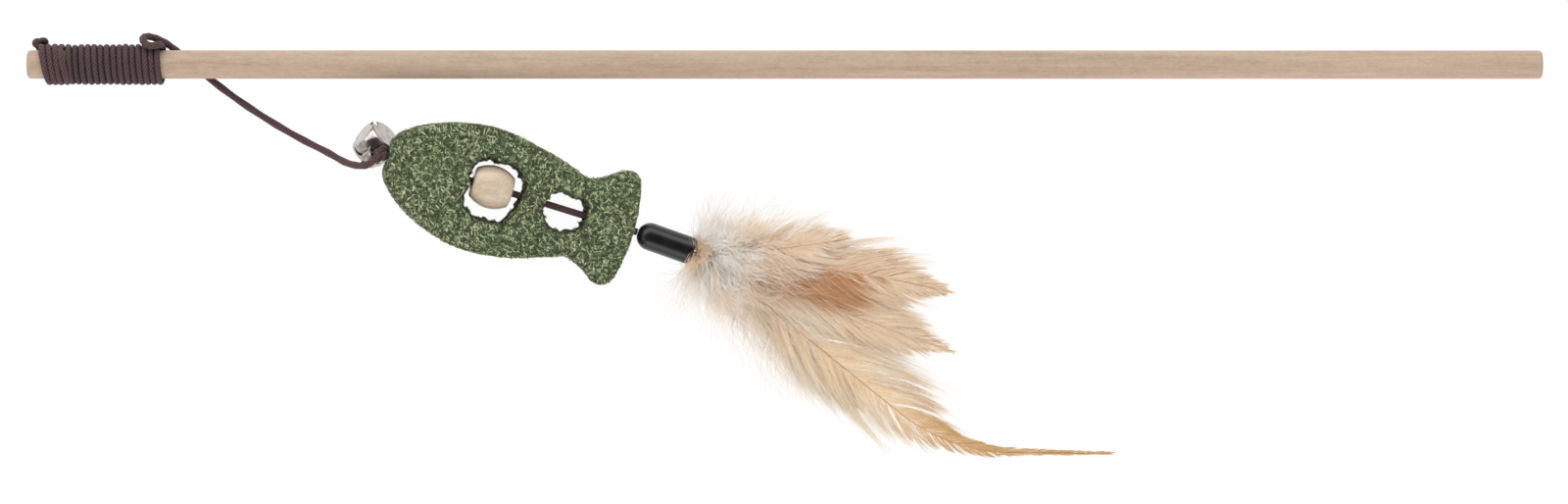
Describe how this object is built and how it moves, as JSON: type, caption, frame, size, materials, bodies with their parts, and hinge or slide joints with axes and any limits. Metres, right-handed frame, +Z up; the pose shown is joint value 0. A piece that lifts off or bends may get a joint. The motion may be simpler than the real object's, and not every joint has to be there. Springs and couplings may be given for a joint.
{
  "type": "cat teaser wand",
  "caption": "Wooden rod with an elastic cord wound on its tip; the cord's free end carries a bell, a pressed herb fish with a bead, and a cap of feathers, for playing with a cat.",
  "frame": {"origin": "on the table, below the middle of the part's box without its cord", "axes": "+X along the rod to its hand end, +Z up from the table, +Y from the toy to the rod"},
  "size_m": [0.48, 0.1358, 0.0223],
  "materials": {
    "rod_wood": "pale bare dowel, fine grain",
    "cord": "dark brown braid",
    "bell_metal": "polished nickel plate",
    "pea_steel": "plain",
    "pressed_herb": "coarse pressed leaf flakes",
    "bead_wood": "lacquered, pale",
    "cap_plastic": "glossy black",
    "glue": "cloudy",
    "feather_shaft": "horny, pale",
    "feather_web": "tan barbs",
    "long_feather_web": "beige barbs",
    "down": "white fluff"
  },
  "bodies": {
    "rod": {"rod": "rod_wood"},
    "winding": {"cord_winding": "cord", "tip_knot": "cord", "cord_hitch": "cord"},
    "cord": {"cord_free": "cord"},
    "bell": {"bell_shell": "bell_metal", "bell_eye": "bell_metal"},
    "pea": {"bell_pea": "pea_steel"},
    "toy_cord": {"cord_through": "cord"},
    "fish": {"fish_body": "pressed_herb"},
    "bead": {"bead": "bead_wood"},
    "cap": {"feather_cap": "cap_plastic", "tail_knot": "cord", "glue_plug": "glue", "lower_feather_shaft": "feather_shaft", "long_feather_shaft": "feather_shaft", "middle_feather_shaft": "feather_shaft", "upper_feather_shaft": "feather_shaft", "short_feather_shaft": "feather_shaft", "lower_feather_left_web": "feather_web", "lower_feather_right_web": "feather_web", "long_feather_left_web": "long_feather_web", "long_feather_right_web": "long_feather_web", "middle_feather_left_web": "feather_web", "middle_feather_right_web": "feather_web", "upper_feather_left_web": "feather_web", "upper_feather_right_web": "feather_web", "short_feather_left_web": "feather_web", "short_feather_right_web": "feather_web", "upper_down": "down", "lower_down": "down"}
  },
  "joints": [
    {"name": "cord_unwind", "type": "hinge", "parent": "rod", "child": "winding", "pos_m": [-0.24, 0.0606, 0.00735], "axis": [1, 0, -0.0058], "continuous": true},
    {"name": "cord_swing", "type": "hinge", "parent": "winding", "child": "cord", "pos_m": [-0.1882, 0.0606, 0.00115], "axis": [0, 0, 1], "range_deg": [-40, 4]},
    {"name": "bell_swing", "type": "hinge", "parent": "cord", "child": "bell", "pos_m": [-0.13053, 0.03073, 0.01505], "axis": [0.7121, 0.3546, 0.6059], "range_deg": [0, 40]},
    {"name": "pea_rattle", "type": "slide", "parent": "bell", "child": "pea", "axis": [-0.0717, -0.51, 0.8572], "range_m": [0, 0.0089]},
    {"name": "toy_swing", "type": "hinge", "parent": "cord", "child": "toy_cord", "pos_m": [-0.12718, 0.0324, 0.01789], "axis": [0, 0, 1], "range_deg": [-25, 3]},
    {"name": "fish_roll", "type": "hinge", "parent": "toy_cord", "child": "fish", "pos_m": [-0.12515, 0.03177, 0.01756], "axis": [0.9435, -0.2921, -0.1564], "range_deg": [0, 25]},
    {"name": "bead_spin", "type": "hinge", "parent": "toy_cord", "child": "bead", "pos_m": [-0.09273, 0.02174, 0.01218], "axis": [0.9435, -0.2921, -0.1564], "continuous": true},
    {"name": "cap_swing", "type": "hinge", "parent": "toy_cord", "child": "cap", "pos_m": [-0.04693, 0.00756, 0.00459], "axis": [0, 0, 1], "range_deg": [-30, 12]}
  ]
}
